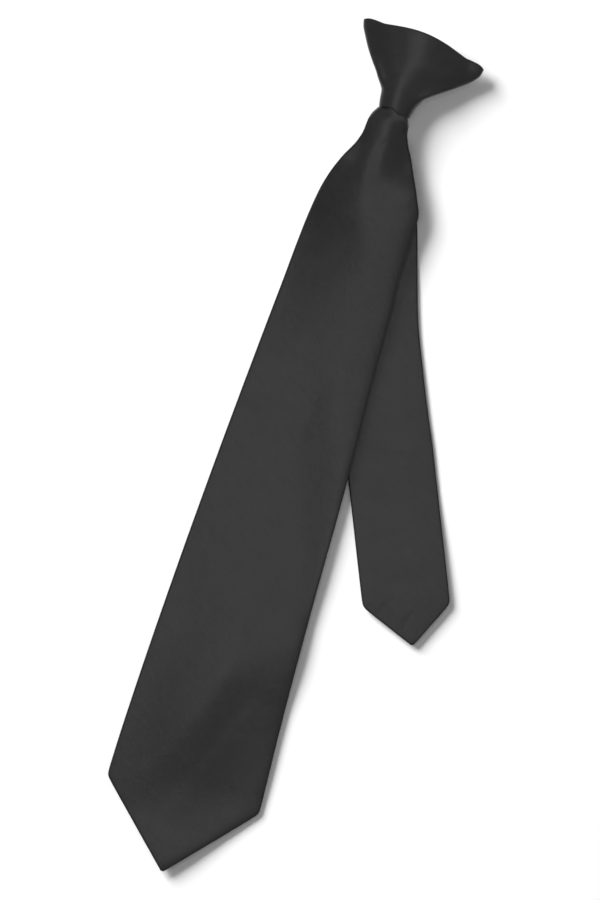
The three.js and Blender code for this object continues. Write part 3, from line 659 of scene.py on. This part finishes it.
# The front lip of the mouth, in mm: drawn up on the left, so that a dark gap shows under it
MOUTH_LIP = {"along": (-8.6, -7.2, -5, -3, -1, 0.6, 4, 8.2), "rise": (-0.3, 0.1, 0.8, 1.1, 0.8, 0.1, 0, -0.3)}

# A faint band that leans up the knot, left of the ridge
BAND_RISE = 0.13
BAND_LEAN = 0.42
BAND_PLACE = -2.5 * MM
BAND_WIDTH = 3.2 * MM
BAND_START = (14 * MM, 10 * MM)

# Grid of the knot: its columns stand closer together in a share of its width at both sides
KNOT_ROWS = 74
KNOT_COLUMNS = 88
KNOT_SIDE_COLUMNS = 10
KNOT_SIDE_SHARE = 0.06
LIP_TURNS = 5


def knot_top_edge(column, is_front):
    across = np.abs(column) * KNOT_TOP_WIDTH / KNOT_ARCH_WIDTH
    arch = KNOT_ARCH * np.maximum(1 - across**2, 0) ** KNOT_ARCH_FULLNESS
    dip = KNOT_BACK_DIP * (1 - column**2)
    corner = KNOT_CORNER_DROP * np.abs(column) ** KNOT_CORNER_SHARPNESS
    return KNOT_HEIGHT - corner + (arch if is_front else -dip)


def section_height(share, bluntness):
    return np.maximum(1 - np.minimum(np.abs(share), 1) ** bluntness, 0) ** (1 / bluntness)


def ridge_crown(u, v, column, height):
    """Height of the front of the knot above its rims: a soft ridge between two flanks and rounded sides."""
    middle = curve_through(KNOT_RIDGE, "middle", v / MM) * MM
    for side, outward in (("left", middle - u), ("right", u - middle)):
        slope = curve_through(KNOT_RIDGE, side + "_slope", v / MM)
        bend = curve_through(KNOT_RIDGE, side + "_round", v / MM) * MM
        limit = curve_through(KNOT_RIDGE, side + "_limit", v / MM) * MM
        limit = np.minimum(limit, RIDGE_FALL_SHARE * height)
        height = height - flank(outward, slope, bend, limit, RIDGE_SOFT)
    return height * section_height(column, curve_through(KNOT_RIDGE, "bluntness", v / MM))


def knot_relief(u, v):
    """The faint band on the front of the knot, in the knot's own frame."""
    band = BAND_RISE * hump(u + BAND_LEAN * v, BAND_PLACE, BAND_WIDTH)
    return MM * (band * ramp((v - BAND_START[0]) / BAND_START[1]))


def knot_side(column, along, inset, is_front):
    """One side of the sleeve: rows up the knot, columns from left to right."""
    flat = curve_through(KNOT_SECTIONS, "flat", along)
    depth = mix(KNOT_NECK_DEPTH, KNOT_TOP_DEPTH, curve_through(KNOT_SECTIONS, "depth", along))
    rim_half = CLOTH_WALL + CLEARANCE / 2
    below = mix(KNOT_NECK_DEPTH / 2, rim_half, flat)
    halves = [mix(KNOT_NECK_WIDTH, KNOT_TOP_WIDTH, curve_through(KNOT_SECTIONS, side, along)) / 2 - inset
              for side in ("left", "right")]
    u = column * np.where(column < 0, halves[0], halves[1])
    v = along * knot_top_edge(column, is_front)
    rim = section_height(column, mix(KNOT_MOUTH_ROUNDNESS, KNOT_RIM_BLUNTNESS, flat))
    if is_front:
        crown = ridge_crown(u, v, column, depth - below - rim_half)
        z = KNOT_BACK_LEVEL + below + (rim_half - inset) * rim + crown + knot_relief(u, v) * rim
    else:
        z = KNOT_BACK_LEVEL + below - (below - inset) * rim
    return np.stack((u, v, z), -1)


def lip_rings(start, end, bulge):
    """Rings that round the rim over from one face of the wall to the other."""
    rings = []
    for i in range(1, LIP_TURNS):
        angle = pi * i / LIP_TURNS
        ring = mix(start, end, (1 - cos(angle)) / 2)
        ring[:, 1] += sin(angle) * CLOTH_WALL * bulge
        rings.append(ring)
    return rings


def knot():
    """The sleeve of folded cloth, as one closed wall with rounded lips at its mouth and its open top."""
    edge = (1 - np.cos(np.linspace(0, pi / 2, KNOT_SIDE_COLUMNS))) * KNOT_SIDE_SHARE
    inner_half = 1 - KNOT_SIDE_SHARE
    middle = np.linspace(-inner_half, inner_half, KNOT_COLUMNS)[1:-1]
    columns = np.concatenate((edge - 1, middle, 1 - edge[::-1]))
    column, along = np.meshgrid(columns, np.linspace(0, 1, KNOT_ROWS))
    across = knot_side(column, along, 0, True)[..., 0]
    lift = curve_through(MOUTH_LIP, "rise", across / MM) * MM * (1 - ramp(along / MOUTH_LIP_REACH))
    faces = []
    for inset in (0, CLOTH_WALL):
        front = knot_side(column, along, inset, True)
        front[..., 1] += lift
        back = knot_side(column, along, inset, False)
        faces.append(np.concatenate((front, back[:, -2:0:-1]), axis=1))
    outer, inner = faces
    top_lip = lip_rings(outer[-1], inner[-1], TOP_LIP_BULGE)
    mouth_lip = lip_rings(inner[0], outer[0], -MOUTH_LIP_BULGE)
    points = np.array([*outer, *top_lip, *inner[::-1], *mouth_lip])
    turned = points.copy()
    turned[..., 0] = points[..., 0] * cos(KNOT_TURN) + points[..., 1] * sin(KNOT_TURN)
    turned[..., 1] = points[..., 1] * cos(KNOT_TURN) - points[..., 0] * sin(KNOT_TURN)
    return looped_cloth("satin_knot", turned, points)


def looped_cloth(name, loops, flat):
    """A closed sleeve from loops that run up its outside and down its inside."""
    count, size = loops.shape[:2]
    faces = []
    for i in range(count):
        j = (i + 1) % count
        for k in range(size):
            m = (k + 1) % size
            faces.append((i * size + k, i * size + m, j * size + m, j * size + k))
    mesh = bpy.data.meshes.new(name)
    mesh.from_pydata(loops.reshape(-1, 3).tolist(), [], faces)
    uv = mesh.uv_layers.new(name="cloth")
    places = np.stack((flat[..., 0] + UV_KNOT, flat[..., 1]), -1).reshape(-1, 2) * UV_SCALE
    corners = np.array([v for face in faces for v in face])
    uv.data.foreach_set("uv", places[corners].astype(np.float32).ravel())
    piece = bpy.data.objects.new(name, mesh)
    bpy.context.scene.collection.objects.link(piece)
    tidy(piece)
    return piece


def select_faces(piece, wanted):
    """Selects the faces whose middle and normal pass a test, and nothing else."""
    bpy.ops.mesh.select_mode(type="FACE")
    bpy.ops.mesh.select_all(action="DESELECT")
    work = bmesh.from_edit_mesh(piece.data)
    for face in work.faces:
        face.select_set(wanted(face.calc_center_median(), face.normal))
    bmesh.update_edit_mesh(piece.data)


def select_upright_edges(piece, places):
    """Selects the edges through the strip's thickness at the given places."""
    bpy.ops.mesh.select_mode(type="EDGE")
    bpy.ops.mesh.select_all(action="DESELECT")
    work = bmesh.from_edit_mesh(piece.data)
    for edge in work.edges:
        a, b = (vertex.co for vertex in edge.verts)
        middle = (a + b) / 2
        upright = (a - b).to_2d().length < UPRIGHT_WITHIN
        near = any(max(abs(middle.x - x), abs(middle.y - y)) < NEAR_WITHIN for x, y in places)
        edge.select_set(upright and near)
    bmesh.update_edit_mesh(piece.data)


def clip_strip(neck):
    """The clip: a plate in the knot, bent over its back wall, with two round ended prongs below."""
    plate_level = KNOT_BACK_LEVEL + CLOTH_WALL + CLEARANCE + CLIP_THICKNESS / 2
    prong_level = CLIP_THICKNESS / 2
    bend_place = KNOT_HEIGHT - CLIP_BEND_DROP
    slot_half = CLIP_WIDTH / 2 - PRONG_WIDTH
    slot_top = bend_place - SLOT_END_INSET
    plate_end = bend_place - CLIP_PLATE_LENGTH
    half = CLIP_WIDTH / 2

    bpy.ops.object.select_all(action="DESELECT")
    bpy.ops.mesh.primitive_cube_add(size=1, location=(0, 0, 0))
    piece = bpy.context.active_object
    piece.name = "plated_clip"
    bpy.ops.object.mode_set(mode="EDIT")
    bpy.ops.mesh.select_all(action="SELECT")
    bpy.ops.transform.resize(value=(CLIP_WIDTH, CLIP_PLATE_LENGTH, CLIP_THICKNESS))
    bpy.ops.transform.translate(value=(0, (bend_place + plate_end) / 2, plate_level))
    select_faces(piece, lambda middle, normal: normal.y > END_FACING)
    bpy.ops.mesh.spin(steps=BEND_STEPS, angle=pi, center=(0, bend_place, (plate_level + prong_level) / 2),
                      axis=(1, 0, 0))
    select_faces(piece, lambda middle, normal: normal.y < -END_FACING and middle.z < 2 * CLIP_THICKNESS)
    bpy.ops.mesh.extrude_region_move(TRANSFORM_OT_translate={"value": (0, -SLOT_END_INSET, 0)})
    for x in (-slot_half, slot_half):
        bpy.ops.mesh.select_all(action="SELECT")
        bpy.ops.mesh.bisect(plane_co=(x, 0, 0), plane_no=(1, 0, 0))
    path = [(bend_place - PRONG_FLAT_LENGTH, 0)]
    for i in range(1, PINCH_STEPS + 1):
        share = i / PINCH_STEPS
        drop = (PRONG_PINCH - PRONG_LIP) * ramp((share - PINCH_SHARE) / (1 - PINCH_SHARE))
        lift = PRONG_PINCH * ramp(share / PINCH_SHARE) - drop
        path.append((path[0][0] - share * (PRONG_LENGTH - PRONG_FLAT_LENGTH), float(lift)))
    here = (slot_top, 0)
    select_faces(piece, lambda middle, normal: normal.y < -END_FACING and middle.z < 2 * CLIP_THICKNESS
                 and abs(middle.x) > slot_half)
    for there in path:
        step = (0, there[0] - here[0], there[1] - here[1])
        bpy.ops.mesh.extrude_region_move(TRANSFORM_OT_translate={"value": step})
        here = there
    tips = [(sign * x, here[0]) for sign in (-1, 1) for x in (half, slot_half)]
    select_upright_edges(piece, tips)
    bpy.ops.mesh.bevel(offset=PRONG_WIDTH * PRONG_END_SHARE, segments=PRONG_END_STEPS, affect="EDGES")
    select_upright_edges(piece, [(-slot_half, slot_top), (slot_half, slot_top)])
    bpy.ops.mesh.bevel(offset=slot_half * SLOT_END_SHARE, segments=SLOT_END_STEPS, affect="EDGES")
    select_upright_edges(piece, [(-half, plate_end), (half, plate_end)])
    bpy.ops.mesh.bevel(offset=PLATE_CORNER, segments=PLATE_CORNER_STEPS, affect="EDGES")
    bpy.ops.mesh.select_all(action="SELECT")
    bpy.ops.mesh.normals_make_consistent(inside=False)
    bpy.ops.transform.rotate(value=KNOT_TURN, orient_axis="Z", center_override=(0, 0, 0))
    bpy.ops.transform.translate(value=neck)
    bpy.ops.object.mode_set(mode="OBJECT")
    rounded = piece.modifiers.new("rounded_edges", "BEVEL")
    rounded.width = CLIP_EDGE
    rounded.segments = CLIP_EDGE_STEPS
    rounded.limit_method = "ANGLE"
    rounded.angle_limit = CLIP_SHARP_ANGLE
    bpy.ops.object.modifier_apply(modifier=rounded.name)
    bpy.ops.object.shade_smooth_by_angle(angle=CLIP_SHARP_ANGLE)
    return piece


def neck_place(front_piece):
    """Where the neck lies in the frame: the dressed front blade goes where its solid is."""
    low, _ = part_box("front_blade")
    points = np.empty(len(front_piece.data.vertices) * 3)
    front_piece.data.vertices.foreach_get("co", points)
    points = points.reshape(-1, 3)
    return Vector((low[0] - points[:, 0].min(), low[1] - points[:, 1].min(), 0))


def shift(piece, by):
    for vertex in piece.data.vertices:
        vertex.co += by
    piece.data.update()


# Materials


def socket(group, name, kind, is_output=False, value=None):
    made = group.interface.new_socket(name, in_out="OUTPUT" if is_output else "INPUT", socket_type=kind)
    if value is not None:
        made.default_value = value
    return made


class Nodes:
    """Adds and links the nodes of one tree."""

    def __init__(self, tree):
        self.tree = tree

    def add(self, kind, inputs=None, **settings):
        node = self.tree.nodes.new(kind)
        for name, value in settings.items():
            setattr(node, name, value)
        for name, value in (inputs or {}).items():
            target = node.inputs[name]
            if isinstance(value, bpy.types.NodeSocket):
                self.tree.links.new(value, target)
            else:
                target.default_value = value
        return node

    def math(self, operation, a, b=0.0, c=0.0):
        return self.add("ShaderNodeMath", {0: a, 1: b, 2: c}, operation=operation).outputs[0]

    def link(self, a, b):
        self.tree.links.new(a, b)


def weave_group():
    """Fine satin weave on the bias, with slubs, slow mottling and creases: heights and masks."""
    group = bpy.data.node_groups.new("satin_weave", "ShaderNodeTree")
    socket(group, "Vector", "NodeSocketVector")
    socket(group, "Threads", "NodeSocketFloat", value=160.0)
    for name in ("Height", "Slubs", "Mottling", "Creases"):
        socket(group, name, "NodeSocketFloat", is_output=True)
    n = Nodes(group)
    start = n.add("NodeGroupInput")
    end = n.add("NodeGroupOutput")
    bias = n.add("ShaderNodeMapping", {"Vector": start.outputs["Vector"], "Rotation": (0, 0, radians(45))})
    warp = n.add("ShaderNodeTexWave", {"Vector": bias.outputs[0], "Scale": start.outputs["Threads"],
                                       "Distortion": 1.5, "Detail": 2.0, "Detail Scale": 0.4},
                 bands_direction="X")
    stretched = n.add("ShaderNodeMapping", {"Vector": bias.outputs[0], "Scale": (60.0, 9.0, 1.0)})
    slubs = n.add("ShaderNodeTexNoise", {"Vector": stretched.outputs[0], "Scale": 1.0, "Detail": 3.0,
                                         "Roughness": 0.6})
    mottling = n.add("ShaderNodeTexNoise", {"Vector": start.outputs["Vector"], "Scale": 9.0, "Detail": 4.0,
                                            "Roughness": 0.55})
    creases = n.add("ShaderNodeTexNoise", {"Vector": start.outputs["Vector"], "Scale": 14.0, "Detail": 3.0,
                                           "Roughness": 0.6, "Distortion": 0.8})
    height = n.math("MULTIPLY_ADD", slubs.outputs["Fac"], 0.6, n.math("MULTIPLY", warp.outputs["Fac"], 0.4))
    n.link(creases.outputs["Fac"], end.inputs["Creases"])
    n.link(height, end.inputs["Height"])
    n.link(slubs.outputs["Fac"], end.inputs["Slubs"])
    n.link(mottling.outputs["Fac"], end.inputs["Mottling"])
    return group


def satin(name, weave):
    """Black polyester satin."""
    material = bpy.data.materials.new(name)
    material.use_nodes = True
    n = Nodes(material.node_tree)
    shader = material.node_tree.nodes["Principled BSDF"]
    uv = n.add("ShaderNodeUVMap", uv_map="cloth")
    cloth = n.add("ShaderNodeGroup", {}, node_tree=weave)
    n.link(uv.outputs[0], cloth.inputs["Vector"])
    tone = n.add("ShaderNodeMapRange", {"Value": cloth.outputs["Mottling"], "From Min": 0.35,
                                        "From Max": 0.65, "To Min": 0.0108, "To Max": 0.0126})
    grain = n.add("ShaderNodeMapRange", {"Value": cloth.outputs["Slubs"], "From Min": 0.3, "From Max": 0.7,
                                         "To Min": 0.88, "To Max": 1.12})
    value = n.math("MULTIPLY", tone.outputs[0], grain.outputs[0])
    colour = n.add("ShaderNodeCombineColor", {"Red": value, "Green": value, "Blue": value})
    n.link(colour.outputs[0], shader.inputs["Base Color"])
    rough = n.add("ShaderNodeMapRange", {"Value": cloth.outputs["Mottling"], "From Min": 0.3, "From Max": 0.7,
                                         "To Min": 0.35, "To Max": 0.4})
    n.link(rough.outputs[0], shader.inputs["Roughness"])
    bump = n.add("ShaderNodeBump", {"Strength": 0.25, "Distance": 0.00008, "Height": cloth.outputs["Height"]})
    creased = n.add("ShaderNodeBump", {"Strength": 0.22, "Distance": 0.0006,
                                       "Height": cloth.outputs["Creases"], "Normal": bump.outputs[0]})
    n.link(creased.outputs[0], shader.inputs["Normal"])
    shader.inputs["Specular IOR Level"].default_value = 0.5
    return material


def plated_steel():
    material = bpy.data.materials.new("plated_spring_steel")
    material.use_nodes = True
    n = Nodes(material.node_tree)
    shader = material.node_tree.nodes["Principled BSDF"]
    place = n.add("ShaderNodeTexCoord")
    brushed = n.add("ShaderNodeMapping", {"Vector": place.outputs["Object"], "Scale": (2500.0, 90.0, 400.0)})
    lines = n.add("ShaderNodeTexNoise", {"Vector": brushed.outputs[0], "Scale": 1.0, "Detail": 3.0})
    rough = n.add("ShaderNodeMapRange", {"Value": lines.outputs["Fac"], "To Min": 0.18, "To Max": 0.38})
    n.link(rough.outputs[0], shader.inputs["Roughness"])
    shader.inputs["Base Color"].default_value = (0.62, 0.62, 0.60, 1)
    shader.inputs["Metallic"].default_value = 1.0
    return material


# Camera, floor and light

PHOTO_TURN = radians(17.44)
PHOTO_HEIGHT = 0.46952
LENS = 600
SENSOR = 36
PHOTO_MIDDLE = Vector((5.49 * MM, -182.83 * MM, 0))
CAMERA_REACH = 50
FLOOR_SIZE = 30

# Lights, in metres and watts. The top one is moved up and to the left of the picture's middle
TOP_HEIGHT = 1.5
TOP_MOVED_UP = 0.1
TOP_MOVED_LEFT = 0.04
TOP_SIZE = (0.6, 0.85)
TOP_POWER = 2.72
KEY_ELEVATION = radians(36)
KEY_DISTANCE = 4.5
KEY_SIZE = (2.5, 2.5)
KEY_POWER = 352
FILL_ELEVATION = radians(50)
FILL_DISTANCE = 3
FILL_SIZE = (3.6, 3.6)
FILL_POWER = 10.5
WORLD_STRENGTH = 0.12


def studio(neck):
    data = bpy.data.cameras.new("photo_camera")
    data.lens, data.sensor_width = LENS, SENSOR
    data.clip_end = CAMERA_REACH
    camera = bpy.data.objects.new("photo_camera", data)
    camera.location = neck + PHOTO_MIDDLE + Vector((0, 0, PHOTO_HEIGHT * LENS / SENSOR))
    camera.rotation_euler = (0, 0, PHOTO_TURN)
    bpy.context.scene.collection.objects.link(camera)
    bpy.context.scene.camera = camera

    bpy.ops.object.select_all(action="DESELECT")
    bpy.ops.mesh.primitive_plane_add(size=FLOOR_SIZE, location=(0, 0, 0))
    floor = bpy.context.active_object
    floor.name = "floor"
    material = bpy.data.materials.new("pale_floor")
    material.use_nodes = True
    shader = material.node_tree.nodes["Principled BSDF"]
    shader.inputs["Base Color"].default_value = (0.9, 0.9, 0.9, 1)
    shader.inputs["Roughness"].default_value = 0.9
    shader.inputs["Specular IOR Level"].default_value = 0.1
    floor.data.materials.append(material)

    right = Vector((cos(PHOTO_TURN), sin(PHOTO_TURN), 0))
    up = Vector((-sin(PHOTO_TURN), cos(PHOTO_TURN), 0))
    middle = neck + PHOTO_MIDDLE
    above = middle + up * TOP_MOVED_UP - right * TOP_MOVED_LEFT
    softbox("top_softbox", above + Vector((0, 0, TOP_HEIGHT)), above, TOP_SIZE, TOP_POWER)
    key_way = (up - right).normalized() * cos(KEY_ELEVATION) + Vector((0, 0, sin(KEY_ELEVATION)))
    key = softbox("key_softbox", middle + key_way * KEY_DISTANCE, middle, KEY_SIZE, KEY_POWER)
    key.visible_glossy = False
    fill_way = (right - up).normalized() * cos(FILL_ELEVATION) + Vector((0, 0, sin(FILL_ELEVATION)))
    softbox("fill_softbox", middle + fill_way * FILL_DISTANCE, middle, FILL_SIZE, FILL_POWER)

    world = bpy.data.worlds.new("studio")
    bpy.context.scene.world = world
    world.use_nodes = True
    background = world.node_tree.nodes["Background"]
    background.inputs["Color"].default_value = (1, 1, 1, 1)
    background.inputs["Strength"].default_value = WORLD_STRENGTH
    bpy.context.scene.view_settings.view_transform = "Standard"


def softbox(name, place, aim, size, power):
    data = bpy.data.lights.new(name, "AREA")
    data.shape = "RECTANGLE"
    data.size, data.size_y = size
    data.energy = power
    light = bpy.data.objects.new(name, data)
    light.location = place
    light.rotation_mode = "QUATERNION"
    light.rotation_quaternion = (aim - place).to_track_quat("-Z", "Y")
    light.visible_camera = False
    bpy.context.scene.collection.objects.link(light)
    return light


weave = weave_group()
black_satin = satin("black_satin", weave)
steel = plated_steel()

front_piece = front_blade()
NECK = neck_place(front_piece)
tail_piece = tail_blade()
knot_piece = knot()
for piece in (front_piece, tail_piece, knot_piece):
    shift(piece, NECK)
    piece.data.materials.append(black_satin)
    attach(piece, "root")
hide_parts("front_blade")
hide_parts("tail_blade")
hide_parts("knot")

clip_piece = clip_strip(NECK)
clip_piece.data.materials.append(steel)
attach(clip_piece, "root")
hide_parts("clip")

studio(NECK)
